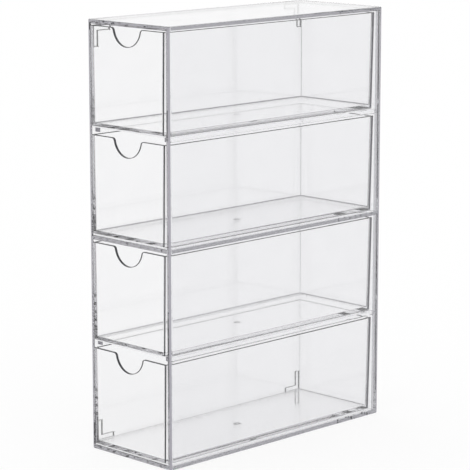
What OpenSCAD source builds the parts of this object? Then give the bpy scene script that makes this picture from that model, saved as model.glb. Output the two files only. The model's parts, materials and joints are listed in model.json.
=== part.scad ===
// Clear upright case with four open-topped drawers, one above another.
// +Z is up, the drawers come out towards -Y, and the origin is the centre of the base.

/* [Case] */
// Width over the two side panels, without the ribs
case_w = 67; // [50:1:120]
// Depth from the front edges to the outside of the back panel
case_d = 175; // [120:1:260]
// Height from the base to the top
case_h = 250; // [200:1:360]
// Thickness of the two side panels
side_t = 3; // [2:0.25:5]
// Thickness of the top, bottom and back panels
panel_t = 2.5; // [2:0.25:5]
// Thickness of the shelf at mid height
shelf_t = 2.5; // [2:0.25:5]
// Radius of the upright outer edges of the two side panels
edge_r = 1.5; // [0.4:0.1:1.8]

/* [Runners] */
// Thickness of a runner strip
runner_t = 2.5; // [1.5:0.25:4]
// How far a runner strip stands out from its side panel
runner_w = 4; // [3:0.5:8]
// Setback of a runner's front end from the front of the case
runner_setback = 2.5; // [0:0.5:10]

/* [Drawers] */
// Thickness of a drawer's four walls
wall_t = 1.5; // [1.25:0.25:3]
// Thickness of a drawer's floor
floor_t = 2.5; // [1.5:0.25:3]
// How far each side and the back lean in from the rim to the foot
draft = 0.8; // [0.2:0.1:1.5]
// Radius of the upright corners outside
outer_corner_r = 0.5; // [0.25:0.25:2]
// Radius of the upright corners inside
inner_corner_r = 0.5; // [0.25:0.25:3]
// How far a closed drawer's front stands out from the front of the case
front_proud = 1; // [0:0.1:3]

/* [Clearances] */
// Gap between a drawer's rim and the side panel beside it
side_gap = 0.3; // [0.2:0.1:1.5]
// Gap between a drawer's floor and what it slides on
glide_gap = 0.5; // [0.1:0.1:1]
// Gap over the rim of the top drawer
head_gap = 0.6; // [0.4:0.1:2]
// Extra height over the rims of the three lower drawers
tier_spare = 0.5; // [0:0.25:3]
// Gap between a closed drawer's back and the back panel
back_gap = 2.5; // [0.5:0.25:6]

/* [Finger notch] */
// Radius of the half-round notch in a drawer's front
notch_r = 11; // [8:0.1:15]
// Height of the notch's centre over the drawer's rim
notch_rise = 0.7; // [0:0.1:3]
// Radius of the shoulders between the notch and the rim
shoulder_r = 2.2; // [1:0.1:4]

/* [Corner ribs] */
// How far a rib stands out from the left side panel
rib_h = 1.5; // [0.5:0.25:2]
// Width of a rib
rib_w = 3; // [1.5:0.25:4]
// Length of each arm of a rib, along its outer side
rib_len = 12; // [8:0.5:25]
// Distance from the panel's edges to a rib
rib_inset = 4; // [1:0.5:8]

/* [Gate mark] */
// Diameter of the round moulding mark under a drawer's floor
gate_d = 5; // [4:0.5:10]
// Depth of the moulding mark
gate_depth = 0.4; // [0.2:0.1:1]

/* [Hidden] */
$fn = 48;

clear_tint = [0.94, 0.95, 0.96, 0.35];
drawer_tint = [0.90, 0.91, 0.92, 0.35];

front_y = -case_d / 2;
inner_w = case_w - 2 * side_t;
inner_d = case_d - panel_t;
inner_h = case_h - 2 * panel_t;

// Four equal tiers. A seat is the height that a tier's drawer slides on, counted from the bottom tier.
tier_gap = max(shelf_t, runner_t) + tier_spare;
tier_pitch = (inner_h + tier_gap) / 4;
function seat_z(tier) = panel_t + tier * tier_pitch;

drawer_w = inner_w - 2 * side_gap;
drawer_d = inner_d - back_gap + front_proud;
drawer_h = tier_pitch - tier_gap - head_gap - glide_gap;

// How far a cutter runs past the face that it opens.
cut_over = 1;

// Outside width and depth of a drawer at a height over its foot.
function drawer_w_at(z) = drawer_w - 2 * draft * (1 - z / drawer_h);
function drawer_d_at(z) = drawer_d - draft * (1 - z / drawer_h);

// Rectangle with round corners, its front edge on y = 0.
module rounded_plan(w, d, r) {
    translate([-w / 2, 0]) offset(r = r) offset(delta = -r) square([w, d]);
}

// Block between two heights of a drawer, its sides and back leaning and its front upright.
// The inset pulls all four sides in by a wall's thickness.
module leaning_block(z0, z1, inset, r) {
    w0 = drawer_w_at(z0) - 2 * inset;
    d0 = drawer_d_at(z0) - 2 * inset;
    w1 = drawer_w_at(z1) - 2 * inset;
    d1 = drawer_d_at(z1) - 2 * inset;
    translate([0, inset, z0])
        linear_extrude(height = z1 - z0, scale = [w1 / w0, d1 / d0], slices = 1, segments = 0)
            rounded_plan(w0, d0, r);
}

// Half-round finger notch through the front wall, its shoulders rounded into the rim.
module notch_cutter() {
    centre_z = drawer_h + notch_rise;
    reach = notch_r + shoulder_r;
    drop = notch_rise + shoulder_r;
    shoulder_x = sqrt(reach * reach - drop * drop);
    touch_z = centre_z - drop * notch_r / reach;
    through = wall_t + 2 * cut_over;
    translate([0, wall_t + cut_over, 0]) rotate([90, 0, 0]) {
        translate([0, centre_z, 0]) cylinder(r = notch_r, h = through);
        difference() {
            translate([-shoulder_x, touch_z, 0])
                cube([2 * shoulder_x, drawer_h + cut_over - touch_z, through]);
            for (side = [-1, 1])
                translate([side * shoulder_x, drawer_h - shoulder_r, -cut_over])
                    cylinder(r = shoulder_r, h = through + 2 * cut_over);
        }
    }
}

// One-piece moulded drawer, standing on z = 0 with its front on y = 0.
module drawer_moulding() {
    difference() {
        leaning_block(0, drawer_h, 0, outer_corner_r);
        leaning_block(floor_t, drawer_h + cut_over, wall_t, inner_corner_r);
        notch_cutter();
        translate([0, drawer_d_at(0) / 2, -cut_over]) cylinder(d = gate_d, h = gate_depth + cut_over);
    }
}

// Drawer in its place. Tier 0 is the lowest.
module drawer(tier) {
    color(drawer_tint)
        translate([0, front_y - front_proud, seat_z(tier) + glide_gap]) drawer_moulding();
}

// Plan of a side panel with its outside on x = 0, the two outer corners rounded.
module eased_plan() {
    translate([edge_r, front_y]) square([side_t - edge_r, case_d]);
    translate([0, front_y + edge_r]) square([side_t, case_d - 2 * edge_r]);
    for (end = [-1, 1])
        translate([edge_r, end * (case_d / 2 - edge_r)]) circle(r = edge_r);
}

// Flat side panel, full height and depth. Side is -1 on the left and 1 on the right.
module side_plate(side) {
    mirror([side < 0 ? 0 : 1, 0, 0]) translate([-case_w / 2, 0, 0]) linear_extrude(height = case_h) eased_plan();
}

// L-shaped rib, its corner at the origin and its arms along +Y and +Z.
module corner_rib() {
    cube([rib_h, rib_len, rib_w]);
    cube([rib_h, rib_w, rib_len]);
}

module left_panel() {
    rib_y = case_d / 2 - rib_inset;
    rib_z = case_h / 2 - rib_inset;
    color(clear_tint) {
        side_plate(-1);
        translate([-case_w / 2 - rib_h, 0, case_h / 2])
            for (back = [0, 1], top = [0, 1])
                mirror([0, back, 0]) mirror([0, 0, top]) translate([0, -rib_y, -rib_z]) corner_rib();
    }
}

module right_panel() {
    color(clear_tint) side_plate(1);
}

// Level plate that fills the case's width between the side panels.
module level_plate(z, t, d) {
    translate([-inner_w / 2, front_y, z]) cube([inner_w, d, t]);
}

module bottom_panel() {
    color(clear_tint) level_plate(0, panel_t, case_d);
}

module top_panel() {
    color(clear_tint) level_plate(case_h - panel_t, panel_t, case_d);
}

module mid_shelf() {
    color(clear_tint) level_plate(seat_z(2) - shelf_t, shelf_t, inner_d);
}

module back_panel() {
    color(clear_tint)
        translate([-inner_w / 2, front_y + inner_d, panel_t]) cube([inner_w, panel_t, inner_h]);
}

// Runner strip on a side panel's inside, its top on a tier's seat.
module runner(tier, side) {
    x0 = side < 0 ? -inner_w / 2 : inner_w / 2 - runner_w;
    color(clear_tint)
        translate([x0, front_y + runner_setback, seat_z(tier) - runner_t])
            cube([runner_w, inner_d - runner_setback, runner_t]);
}

bottom_panel();
back_panel();
left_panel();
right_panel();
mid_shelf();
runner(1, -1);  // lower_left_runner
runner(1, 1);  // lower_right_runner
runner(3, -1);  // upper_left_runner
runner(3, 1);  // upper_right_runner
top_panel();
drawer(3);  // drawer_1
drawer(2);  // drawer_2
drawer(1);  // drawer_3
drawer(0);  // drawer_4
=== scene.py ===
import json
import math

import bpy
import numpy as np
from mathutils import Matrix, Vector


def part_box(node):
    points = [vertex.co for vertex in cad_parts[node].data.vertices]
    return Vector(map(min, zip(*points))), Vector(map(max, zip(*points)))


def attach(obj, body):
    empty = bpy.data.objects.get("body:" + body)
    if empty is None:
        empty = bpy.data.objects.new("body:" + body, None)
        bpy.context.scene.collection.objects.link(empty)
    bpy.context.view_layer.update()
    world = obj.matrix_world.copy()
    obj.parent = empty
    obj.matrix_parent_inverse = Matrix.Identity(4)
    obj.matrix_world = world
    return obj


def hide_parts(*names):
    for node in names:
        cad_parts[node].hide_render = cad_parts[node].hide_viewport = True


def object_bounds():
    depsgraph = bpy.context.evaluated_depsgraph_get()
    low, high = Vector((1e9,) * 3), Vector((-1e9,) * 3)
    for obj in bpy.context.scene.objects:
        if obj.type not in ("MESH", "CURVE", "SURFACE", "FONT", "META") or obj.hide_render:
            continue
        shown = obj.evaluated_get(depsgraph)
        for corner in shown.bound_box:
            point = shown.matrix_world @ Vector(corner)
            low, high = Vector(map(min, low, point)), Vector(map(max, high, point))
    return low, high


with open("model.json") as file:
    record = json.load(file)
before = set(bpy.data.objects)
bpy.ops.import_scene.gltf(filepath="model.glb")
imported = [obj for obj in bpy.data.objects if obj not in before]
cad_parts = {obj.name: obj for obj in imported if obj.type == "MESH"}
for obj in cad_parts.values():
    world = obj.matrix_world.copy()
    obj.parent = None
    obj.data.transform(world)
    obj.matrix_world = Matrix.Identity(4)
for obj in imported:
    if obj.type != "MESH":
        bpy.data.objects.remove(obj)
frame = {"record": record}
cad_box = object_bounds()

# The case: two sides, top, bottom, back, a shelf at mid height and four runner strips, all of clear acrylic
# plate and solvent-bonded edge to face, so that the joints vanish and it is one clear body. Its upright
# outer edges are rounded, its other edges eased, and the left side carries four L-shaped ribs.
mm = 0.001
rib_height = 1.5 * mm
rib_width = 3.0 * mm
rib_arm = 12.0 * mm
rib_inset = 4.0 * mm
upright_edge_radius = 1.5 * mm
upright_edge_steps = 8
eased_edge_radius = 0.4 * mm
eased_edge_steps = 3
right_angle = math.pi / 2
acrylic_ior = 1.491
ripple_length = 35 * mm
ripple_height = 0.02 * mm
ripple_detail = 1.0
patch_size = 12 * mm
patch_detail = 4.0
patch_range = (0.3, 0.7)
polished = (0.0, 0.02)
line_gloss = (0.25, 0.35)
fully_clear = 1.0
plate_absorption = 6.5
joint_spread_y = 3.6 * mm
joint_back_share = 0.85
joint_shift_z = 0.4 * mm
joint_margin = 0.4 * mm
joint_face = 0.05 * mm


def linear(hex_code):
    """Linear RGBA of an sRGB hex colour: a straight line for the darkest values, a power of 2.4 above."""
    srgb = np.array([int(hex_code[i : i + 2], 16) for i in (1, 3, 5)]) / 255
    low = srgb / 12.92
    high = ((srgb + 0.055) / 1.055) ** 2.4
    return (*np.where(srgb <= 0.04045, low, high).tolist(), 1.0)


def add_node(tree, kind, inputs, **settings):
    """Adds a node, sets its properties, and fills its inputs with values or with links from other nodes."""
    new = tree.nodes.new(kind)
    for key, value in settings.items():
        setattr(new, key, value)
    for key, value in inputs.items():
        if isinstance(value, bpy.types.NodeSocket):
            tree.links.new(value, new.inputs[key])
        else:
            new.inputs[key].default_value = value
    return new


def acrylic(name, tints, roughness, clearness=0.0, absorption_per_m=0.0):
    """Acrylic. Ripples some centimetres long bend what shows through it a little, and patches of handling
    make its tint and gloss uneven between two values each. Light that runs far inside it comes out dimmed
    to grey-lilac. An edge drawn as a line of painted shade or highlight has no clearness and no absorption."""
    material = bpy.data.materials.new(name)
    material.use_nodes = True
    tree = material.node_tree
    tree.nodes.clear()
    place = add_node(tree, "ShaderNodeTexCoord", {}).outputs["Object"]
    waves = {"Vector": place, "Scale": 1 / ripple_length, "Detail": ripple_detail}
    ripple = add_node(tree, "ShaderNodeTexNoise", waves)
    bump = add_node(tree, "ShaderNodeBump", {"Height": ripple.outputs[0], "Distance": ripple_height})
    patches = {"Vector": place, "Scale": 1 / patch_size, "Detail": patch_detail}
    patch = add_node(tree, "ShaderNodeTexNoise", patches)
    gloss = add_node(
        tree,
        "ShaderNodeMapRange",
        {
            "Value": patch.outputs[0],
            "From Min": patch_range[0],
            "From Max": patch_range[1],
            "To Min": roughness[0],
            "To Max": roughness[1],
        },
    )
    # A Mix node's two colours are its inputs 6 and 7, and the mixed one is its output 2.
    tint = add_node(
        tree,
        "ShaderNodeMix",
        {0: patch.outputs[0], 6: linear(tints[0]), 7: linear(tints[1])},
        data_type="RGBA",
    )
    surface = add_node(
        tree,
        "ShaderNodeBsdfPrincipled",
        {
            "Base Color": tint.outputs[2],
            "Roughness": gloss.outputs[0],
            "IOR": acrylic_ior,
            "Transmission Weight": clearness,
            "Normal": bump.outputs[0],
        },
    )
    output = add_node(tree, "ShaderNodeOutputMaterial", {"Surface": surface.outputs[0]})
    if absorption_per_m:
        lilac = linear("#9C9AA3")
        inside = add_node(tree, "ShaderNodeVolumeAbsorption", {"Color": lilac, "Density": absorption_per_m})
        tree.links.new(inside.outputs[0], output.inputs["Volume"])
    return material


def new_piece(name, points, faces, *materials):
    """Mesh object at the origin from an array of points and a list of faces."""
    mesh = bpy.data.meshes.new(name)
    mesh.from_pydata(points, [], faces)
    for material in materials:
        mesh.materials.append(material)
    piece = bpy.data.objects.new(name, mesh)
    bpy.context.scene.collection.objects.link(piece)
    return piece


def bonded_blocks(blocks):
    """Closed surface round blocks that meet face to face. The blocks' sides cut space into cells; a cell is
    full where a block covers its middle, and each wall between a full and an empty cell is a face that looks
    into the empty one. Sides are rounded to a tenth of a micrometre first, so that those which meet are one.
    Also tells which faces look along X."""
    decimals = 7
    blocks = np.round(np.array(blocks, float), decimals)
    cuts = [np.unique(blocks[:, :, axis]) for axis in range(3)]
    middles = np.stack(np.meshgrid(*[(c[1:] + c[:-1]) / 2 for c in cuts], indexing="ij"), -1)
    low = blocks[:, None, None, None, 0]
    high = blocks[:, None, None, None, 1]
    full = ((middles > low) & (middles < high)).all(-1).any(0)
    corners = np.stack(np.meshgrid(*cuts, indexing="ij"), -1).reshape(-1, 3)
    counts = [len(c) for c in cuts]
    faces = []
    along_x = []
    for axis in range(3):
        across = (axis + 1) % 3
        along = (axis + 2) % 3
        margins = [(int(other == axis),) * 2 for other in range(3)]
        change = np.diff(np.pad(full.astype(int), margins), axis=axis)
        for sign in (-1, 1):
            cell = np.array(np.nonzero(change == sign))
            ring = []
            for step_across, step_along in ((0, 0), (1, 0), (1, 1), (0, 1)):
                corner = cell.copy()
                corner[across] += step_across
                corner[along] += step_along
                ring.append(np.ravel_multi_index(corner, counts))
            faces.append(np.array(ring).T[:, ::-sign])
            along_x.append(np.full(cell.shape[1], axis == 0))
    used, faces = np.unique(np.concatenate(faces), return_inverse=True)
    return corners[used], faces.reshape(-1, 4), np.concatenate(along_x)


def face_vectors(mesh, name):
    """The faces' normals or middles as one array."""
    vectors = np.empty((len(mesh.polygons), 3))
    mesh.polygons.foreach_get(name, vectors.ravel())
    return vectors


def edge_bends(mesh):
    """Angle between the two faces at each edge of a closed mesh, above zero where the edge stands out and
    below zero where it is a hollow corner."""
    edge_of = np.empty(len(mesh.loops), int)
    mesh.loops.foreach_get("edge_index", edge_of)
    corners = np.empty(len(mesh.polygons), int)
    mesh.polygons.foreach_get("loop_total", corners)
    normals = face_vectors(mesh, "normal")
    middles = face_vectors(mesh, "center")
    face_of = np.repeat(np.arange(len(corners)), corners)
    one, two = face_of[np.argsort(edge_of, kind="stable")].reshape(-1, 2).T
    angle = np.arccos(np.clip((normals[one] * normals[two]).sum(1), -1, 1))
    return angle * np.sign(((middles[one] - middles[two]) * normals[one]).sum(1))


def round_edges(piece, marked, radius, steps):
    """Rounds the marked edges of a piece with a Bevel and keeps the outcome as the piece's mesh."""
    attributes = piece.data.attributes
    weight = attributes.get("bevel_weight_edge")
    weight = weight or attributes.new("bevel_weight_edge", "FLOAT", "EDGE")
    weight.data.foreach_set("value", marked.astype(float))
    rounding = piece.modifiers.new("rounding", "BEVEL")
    rounding.limit_method = "WEIGHT"
    rounding.width = radius
    rounding.segments = steps
    done = piece.evaluated_get(bpy.context.evaluated_depsgraph_get())
    piece.data = bpy.data.meshes.new_from_object(done)
    piece.modifiers.clear()


case_nodes = frame["record"]["behaviour"]["bodies"]["case"]
blocks = {name: np.array(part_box(name)) for name in case_nodes}
# The left panel's box includes its ribs. Each rib is two arms, mirrored to the panel's four corners.
blocks["left_panel"][0, 0] += rib_height
outer_low = blocks["left_panel"][0]
outer_high = blocks["right_panel"][1]
ribs = []
for arm in ((rib_height, rib_arm, rib_width), (rib_height, rib_width, rib_arm)):
    first = outer_low + (-rib_height, rib_inset, rib_inset)
    for flips in ((), (1,), (2,), (1, 2)):
        rib = np.array((first, first + arm))
        for axis in flips:
            rib[:, axis] = outer_low[axis] + outer_high[axis] - rib[::-1, axis]
        ribs.append(rib)
# Polished plate: all but invisible face on, grey-lilac where the eye looks into an edge.
plate_tints = ("#F8F8F9", "#FAFAFB")
plate_acrylic = acrylic("clear_acrylic_plate", plate_tints, polished, fully_clear, plate_absorption)
# Where back, bottom, shelf and top are bonded to the right side, painted shade on its outer face stands
# for their ends seen through it: grey bands, and a fainter one along the back.
tree = plate_acrylic.node_tree
surface = tree.nodes["Principled BSDF"]
place = tree.nodes["Texture Coordinate"].outputs["Object"]
spot = add_node(tree, "ShaderNodeSeparateXYZ", {0: place}).outputs
behind = blocks["back_panel"][0, 1] - joint_spread_y
joint_painted_shade = add_node(tree, "ShaderNodeMath", {0: spot[1], 1: behind}, operation="GREATER_THAN")
joint_painted_shade = add_node(tree, "ShaderNodeMath", {0: joint_painted_shade.outputs[0], 1: joint_back_share}, operation="MULTIPLY")
for plate in ("bottom_panel", "mid_shelf", "top_panel"):
    low, high = blocks[plate][:, 2]
    middle = (low + high + joint_shift_z) / 2
    reach = (high - low + joint_shift_z) / 2 - joint_margin
    here = add_node(tree, "ShaderNodeMath", {0: spot[2], 1: middle, 2: reach}, operation="COMPARE")
    joint_painted_shade = add_node(tree, "ShaderNodeMath", {0: joint_painted_shade.outputs[0], 1: here.outputs[0]}, operation="MAXIMUM")
outer_face = outer_high[0] - joint_face
outside = add_node(tree, "ShaderNodeMath", {0: spot[0], 1: outer_face}, operation="GREATER_THAN")
joint_painted_shade = add_node(tree, "ShaderNodeMath", {0: joint_painted_shade.outputs[0], 1: outside.outputs[0]}, operation="MULTIPLY")
plain = surface.inputs["Base Color"].links[0].from_socket
# The grey bands are painted shade, mixed into the plate's own tint.
bands = {0: joint_painted_shade.outputs[0], 6: plain, 7: linear("#909096")}
joint_shade_tint = add_node(tree, "ShaderNodeMix", bands, data_type="RGBA")
tree.links.new(joint_shade_tint.outputs[2], surface.inputs["Base Color"])
# Rib flanks, rounded uprights and runner ends bend the view to the side; they are drawn as painted shade,
# opaque dark or grey lines.
rib_painted_shade = acrylic("acrylic_rib_edge", ("#1C1C20", "#28282C"), line_gloss)
upright_edge = acrylic("acrylic_upright_painted_shade", ("#A4A2AA", "#ACAAB2"), line_gloss)
plate_slot, rib_slot, upright_slot = range(3)
points, faces, along_x = bonded_blocks([*blocks.values(), *ribs])
case = new_piece("acrylic_case", points, faces.tolist(), plate_acrylic, rib_painted_shade, upright_edge)
flank = (points[faces][:, :, 0].min(1) < outer_low[0] - rib_height / 2) & ~along_x
case.data.polygons.foreach_set("material_index", np.where(flank, rib_slot, plate_slot))
ends = np.empty((len(case.data.edges), 2), int)
case.data.edges.foreach_get("vertices", ends.ravel())
outer_xy = np.array((outer_low[:2], outer_high[:2]))
at_upright = np.isclose(points[:, None, :2], outer_xy).any(1).all(1)
standing_out = edge_bends(case.data) > right_angle / 2
round_edges(case, at_upright[ends].all(1) & standing_out, upright_edge_radius, upright_edge_steps)
standing_out = edge_bends(case.data) > right_angle / 2
round_edges(case, standing_out, eased_edge_radius, eased_edge_steps)
normals = face_vectors(case.data, "normal")
middles = face_vectors(case.data, "center")
# Shares of a face's normal along an axis. A flat face has 1 along its own, and a rounded edge's faces less.
flat_share = 0.999
front_turn_share = 0.5
runner_front_share = 0.7
level_share = 0.1
rounded = np.abs(normals).max(1) < flat_share
by_upright = (np.abs(middles[:, None, :2] - outer_xy).min(1) < upright_edge_radius).all(1)
slot = np.empty(len(normals), int)
case.data.polygons.foreach_get("material_index", slot)
# Rounded faces of the rib flanks get the painted dark shade.
slot[rounded & (middles[:, 0] < outer_low[0] - rib_height / 2)] = rib_slot
# The upright edge at the back left stays clear, as the plates would carry its grey to the front in dashes.
front_turn = (middles[:, 1] < 0) & (np.abs(normals[:, 1]) > front_turn_share)
back_right = (middles[:, 1] > 0) & (middles[:, 0] > 0)
upright = np.abs(normals[:, 2]) < level_share
# Rounded uprights at the front and back right get the painted grey shade.
slot[rounded & by_upright & upright & (front_turn | back_right)] = upright_slot
# The runners' front ends get the same painted grey shade.
runner_front = blocks["lower_left_runner"][0, 1]
at_runner_front = np.abs(middles[:, 1] - runner_front) < eased_edge_radius
slot[at_runner_front & (normals[:, 1] < -runner_front_share)] = upright_slot
case.data.polygons.foreach_set("material_index", slot)
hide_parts(*case_nodes)
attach(case, "case")

# The drawers: each is one injection moulding in clear acrylic, with an upright front, sides and back that
# lean out towards the rim, the round mark of the moulding gate under its flat floor, and a half-round finger
# notch in the front. It is loose and slides on the panel, shelf or runners below it.
drawer_count = 4
wall = 1.5 * mm
floor_thickness = 2.5 * mm
lean = 0.8 * mm
corner_radius = 0.5 * mm
sharp_corner_radius = 0.2 * mm
least_radius = 0.05 * mm
notch_radius = 11.0 * mm
notch_rise = 0.7 * mm
shoulder_radius = 2.2 * mm
gate_radius = 2.5 * mm
gate_depth = 0.4 * mm
gate_ring_radii = (1.1 * mm, 2.3 * mm)
rim_round = 0.35 * mm
foot_round = 0.9 * mm
floor_fillet = 0.4 * mm
wall_end_width = 1.6 * mm
corner_steps = 6
shoulder_steps = 8
notch_steps = 24
round_steps = 5
moulding_absorption = 4.0
soft_gloss = (0.35, 0.45)


def drawer_columns():
    """One row of values per upright line round a drawer, starting at the middle of the front and going round
    to the right: which side and end the line belongs to, its direction from the centre of the corner there,
    its place across, the drop of the rim, the direction into the wall from the rim, and its place along.
    Each of the four corners is a quarter turn about its own centre, and the notch is a half-round arc that
    two shoulder arcs carry over into the level rim. One more line on the right side marks off the end of the
    back wall. Also tells which lines start a face of a corner or of the notch."""
    drop = notch_rise + shoulder_radius
    reach = notch_radius + shoulder_radius
    tilt = math.asin(drop / reach)
    shoulder_x = reach * math.cos(tilt)
    arc = np.linspace(-right_angle, -tilt, notch_steps, endpoint=False)
    bend = np.linspace(math.pi - tilt, right_angle, shoulder_steps + 1)
    across = np.r_[notch_radius * np.cos(arc), shoulder_x + shoulder_radius * np.cos(bend)]
    height = np.r_[notch_rise + notch_radius * np.sin(arc), shoulder_radius * (np.sin(bend) - 1)]
    into_x = np.r_[np.cos(arc), -np.cos(bend)]
    into_z = np.r_[np.sin(arc), -np.sin(bend)]
    still = np.zeros(len(across))
    right_half = np.array([still, still, still, still - 1, across, height, into_x, into_z, still]).T
    left_half = right_half[:0:-1] * (1, 1, 1, 1, -1, 1, -1, 1, 1)
    corners = []
    for turn, (side, depth) in enumerate(((1, 0), (1, 1), (-1, 1), (-1, 0))):
        angle = right_angle * (turn - 1 + np.linspace(0, 1, corner_steps + 1))
        one = np.ones(corner_steps + 1)
        nil = 0 * one
        plan = [side * one, depth * one, np.cos(angle), np.sin(angle)]
        corners.append(np.array([*plan, nil, nil, nil, -one, nil]).T)
    # This line bounds the strip of painted shade at the back wall's right end.
    wall_end_line = corners[1][:1].copy()
    wall_end_line[:, -1] = -wall_end_width
    columns = np.concatenate([right_half, corners[0], wall_end_line, *corners[1:], left_half])
    ahead = np.roll(columns, -1, axis=0)
    turning = (ahead[:, 2:4] != columns[:, 2:4]).any(1) & (ahead[:, :2] == columns[:, :2]).all(1)
    return columns, turning, (ahead[:, 6:8] != columns[:, 6:8]).any(1)


def drawer_surface(low, high):
    """Closed surface of a drawer as rows of rings. A ring runs round the plan at one inset and height; the
    rings go from the middle of the underside out to the foot, up the leaning outside, over the rounded rim,
    down the inside and back to the middle of the floor. Also tells which faces are curved, and each face's
    place in the list of the drawer's materials: clear moulding, or a line of painted shade or highlight."""
    columns, corner, notch = drawer_columns()
    side, depth, turn_x, turn_y, fixed_x, rim_drop, into_x, into_z, fixed_y = columns.T
    width, length, height = np.array(high) - low
    front, foot = low[1], low[2]
    middle = (low[0] + high[0]) / 2
    corner_radii = np.where((side < 0) & (depth > 0), sharp_corner_radius, corner_radius)
    quarter = np.linspace(0, right_angle, round_steps + 1)

    def ring(inset, radius, z):
        """Points of the plan at an inset, with corners of a radius, at a height over the foot."""
        squeeze = lean * (1 - z / height)
        straight = length - squeeze - 2 * inset - 2 * radius
        x = middle + side * (width / 2 - squeeze - inset - radius) + radius * turn_x + fixed_x
        y = front + inset + radius * (1 + turn_y) + depth * straight + fixed_y
        return np.stack(np.broadcast_arrays(x, y, foot + z), -1)

    def bottom(inset, tightening, z):
        """Points of the plan low on a wall, where the corners grow tighter towards the edge they meet."""
        return ring(inset, np.maximum(corner_radii - tightening, least_radius), z + 0 * side)

    def rim(below, share):
        """Points at a distance under the rim, square to its outline, and a share of the way through."""
        z = height + rim_drop + into_z * below
        points = (1 - share) * ring(0, corner_radii, z) + share * ring(wall, corner_radii, z)
        points[:, 0] += into_x * below
        return points

    pole = np.array([middle, front + (length - lean) / 2, foot])
    aim = (bottom(foot_round, foot_round, 0) - pole) / (width, length, 1)
    aim /= np.linalg.norm(aim, axis=1, keepdims=True)
    raised = pole + (0, 0, gate_depth)
    rows = [raised + radius * aim for radius in (0, *gate_ring_radii)]
    rows.append(pole + gate_radius * aim)
    for angle in quarter:
        inset = foot_round * (1 - math.sin(angle))
        rows.append(bottom(inset, inset, foot_round * (1 - math.cos(angle))))
    for angle in quarter:
        rows.append(rim(rim_round * (1 - math.sin(angle)), rim_round * (1 - math.cos(angle)) / wall))
    for angle in quarter:
        rows.append(rim(rim_round * (1 - math.cos(angle)), 1 - rim_round * (1 - math.sin(angle)) / wall))
    for angle in quarter:
        inset = floor_fillet * (1 - math.cos(angle))
        rows.append(bottom(wall + inset, inset, floor_thickness + floor_fillet * (1 - math.sin(angle))))
    rows.append(pole + (0, 0, floor_thickness) + 0 * aim)
    rounded_rim = ["rim"] * round_steps
    bands = ["eye", "gate ring", "gate side", "underside", *["foot"] * round_steps, "outside"]
    bands += [*rounded_rim, "top", *rounded_rim, "inside", *["fillet"] * round_steps, "floor"]
    band = np.array(bands)[:, None]
    upright = np.isin(band, ("outside", "inside"))
    smooth = np.isin(band, ("gate side", "foot", "rim", "fillet"))
    smooth = smooth | (band == "top") & notch | upright & corner
    front_corner = (band == "outside") & corner & (depth == 0)
    back_right = upright & corner & (depth == 1) & (side > 0)
    # Painted lines: dark and grey ones are painted shade, white is a painted highlight on the foot, and the
    # end strip is painted shade.
    dark = np.isin(band, ("gate side", "rim")) | front_corner | back_right
    grey = (band == "gate ring") | (band == "top") & notch
    white = (band == "foot") & (corner | (side >= 0) | (depth == 0))
    end_strip = (band == "outside") & (fixed_y < 0)
    return np.array(rows), smooth, np.select([dark, grey, white, end_strip], [1, 2, 3, 4])


def ringed_mesh(name, rows, smooth, slot, *materials):
    """Mesh of a stack of closed rings whose first and last rings are single points. Each face between two
    rings is shaded smooth or flat, and has its material, as told."""
    count, around = rows.shape[:2]
    points = np.concatenate([rows[0, :1], rows[1:-1].reshape(-1, 3), rows[-1, :1]])
    place = 1 + np.arange((count - 2) * around).reshape(count - 2, around)
    ahead = np.roll(place, -1, axis=1)
    quads = np.stack([place[:-1], ahead[:-1], ahead[1:], place[1:]], -1).reshape(-1, 4)
    first_fan = np.stack([np.zeros(around, int), ahead[0], place[0]], -1)
    last_fan = np.stack([place[-1], ahead[-1], np.full(around, len(points) - 1)], -1)
    piece = new_piece(name, points, first_fan.tolist() + quads.tolist() + last_fan.tolist(), *materials)
    piece.data.polygons.foreach_set("use_smooth", smooth.ravel())
    piece.data.polygons.foreach_set("material_index", slot.ravel())
    return piece


# Glossy moulding, clearer than the plate: only its floor and wall ends look grey.
moulding_tints = ("#FDFDFD", "#FFFFFF")
moulded_acrylic = acrylic(
    "clear_acrylic_moulding", moulding_tints, polished, fully_clear, moulding_absorption
)
# Rim, corners, notch, gate mark and the back wall's right end get painted shade as opaque dark and grey
# lines, the rounded foot a painted highlight as a white one.
painted_dark_line = acrylic("acrylic_rim_edge", ("#303034", "#38383C"), line_gloss)
painted_grey_line = acrylic("acrylic_cut_edge", ("#4C4D52", "#54555A"), line_gloss)
painted_foot_highlight = acrylic("acrylic_foot_edge", ("#FAFAFC", "#FEFEFF"), soft_gloss)
wall_end = acrylic("acrylic_wall_end_painted_shade", ("#8A8A90", "#929298"), line_gloss)
moulding_and_painted_lines = (moulded_acrylic, painted_dark_line, painted_grey_line, painted_foot_highlight, wall_end)
for number in range(1, drawer_count + 1):
    node = f"drawer_{number}"
    surface = drawer_surface(*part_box(node))
    drawer = ringed_mesh(f"acrylic_{node}", *surface, *moulding_and_painted_lines)
    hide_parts(node)
    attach(drawer, node)

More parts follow.
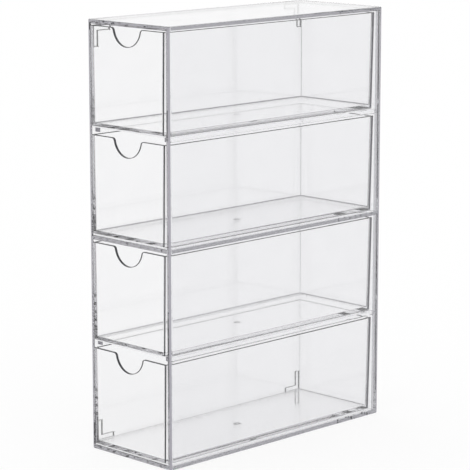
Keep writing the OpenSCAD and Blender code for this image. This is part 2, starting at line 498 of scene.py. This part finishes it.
# The floor and the light: white paper that the lens sees as nearly plain white, with a small share of its
# real shading kept for the object's shadow, under a soft white light from all sides.
floor_half = 6000 * mm
floor_z = -0.2 * mm
shadow_share = 0.12
paper_colour = linear("#FEFEFE")
plain_white = linear("#FFFFFF")
white_level = 1.0
plate_bounces = 128
transparent_bounces = 32
white_paper = bpy.data.materials.new("white_paper")
white_paper.use_nodes = True
tree = white_paper.node_tree
tree.nodes.clear()
paper = add_node(tree, "ShaderNodeBsdfDiffuse", {"Color": paper_colour})
glow = add_node(tree, "ShaderNodeEmission", {"Color": plain_white, "Strength": white_level})
ray = add_node(tree, "ShaderNodeLightPath", {}).outputs
shown = ray["Is Camera Ray"]
for kind in ("Is Glossy Ray", "Is Transmission Ray"):
    shown = add_node(tree, "ShaderNodeMath", {0: shown, 1: ray[kind]}, operation="MAXIMUM").outputs[0]
share = add_node(tree, "ShaderNodeMath", {0: shown, 1: 1 - shadow_share}, operation="MULTIPLY")
mixed = add_node(tree, "ShaderNodeMixShader", {0: share.outputs[0], 1: paper.outputs[0], 2: glow.outputs[0]})
add_node(tree, "ShaderNodeOutputMaterial", {"Surface": mixed.outputs[0]})
square = floor_half * np.array([(-1, -1, 0), (1, -1, 0), (1, 1, 0), (-1, 1, 0)]) + (0, 0, floor_z)
floor = new_piece("floor", square, [(0, 1, 2, 3)], white_paper)

scene = bpy.context.scene
scene.world = bpy.data.worlds.new("studio")
scene.world.use_nodes = True
background = scene.world.node_tree.nodes["Background"]
background.inputs["Color"].default_value = plain_white
background.inputs["Strength"].default_value = white_level
scene.view_settings.view_transform = "Standard"
# Light runs through the plates from end to end, so it needs many bounces.
scene.cycles.max_bounces = plate_bounces
scene.cycles.glossy_bounces = plate_bounces
scene.cycles.transmission_bounces = plate_bounces
scene.cycles.transparent_max_bounces = transparent_bounces

# The camera: a long lens somewhat higher than the case's top, to the right of the front, fitted to the
# corners of the case, the ribs, rims and drawer floors in the photo.
image_px = 470
focal_px = 2246
sensor_mm = 36
azimuth = math.radians(44.917)
elevation = math.radians(10.874)
distance = 1323.9 * mm
frame_right = 2.403 * mm
frame_up = 6.055 * mm
sight_end = 50000 * mm
level = np.array([math.sin(azimuth), -math.cos(azimuth), 0.0])
back = math.cos(elevation) * level + (0, 0, math.sin(elevation))
right = np.array([math.cos(azimuth), math.sin(azimuth), 0.0])
up = np.cross(back, right)
centre = np.array([0, 0, (cad_box[0][2] + cad_box[1][2]) / 2])
camera_data = bpy.data.cameras.new("camera")
camera_data.sensor_width = sensor_mm
camera_data.lens = sensor_mm * focal_px / image_px
camera_data.clip_end = sight_end
camera = bpy.data.objects.new("camera", camera_data)
scene.collection.objects.link(camera)
stand = np.eye(4)
stand[:3, :3] = np.array([right, up, back]).T
stand[:3, 3] = centre + back * distance - right * frame_right - up * frame_up
camera.matrix_world = Matrix(stand.tolist())
scene.camera = camera
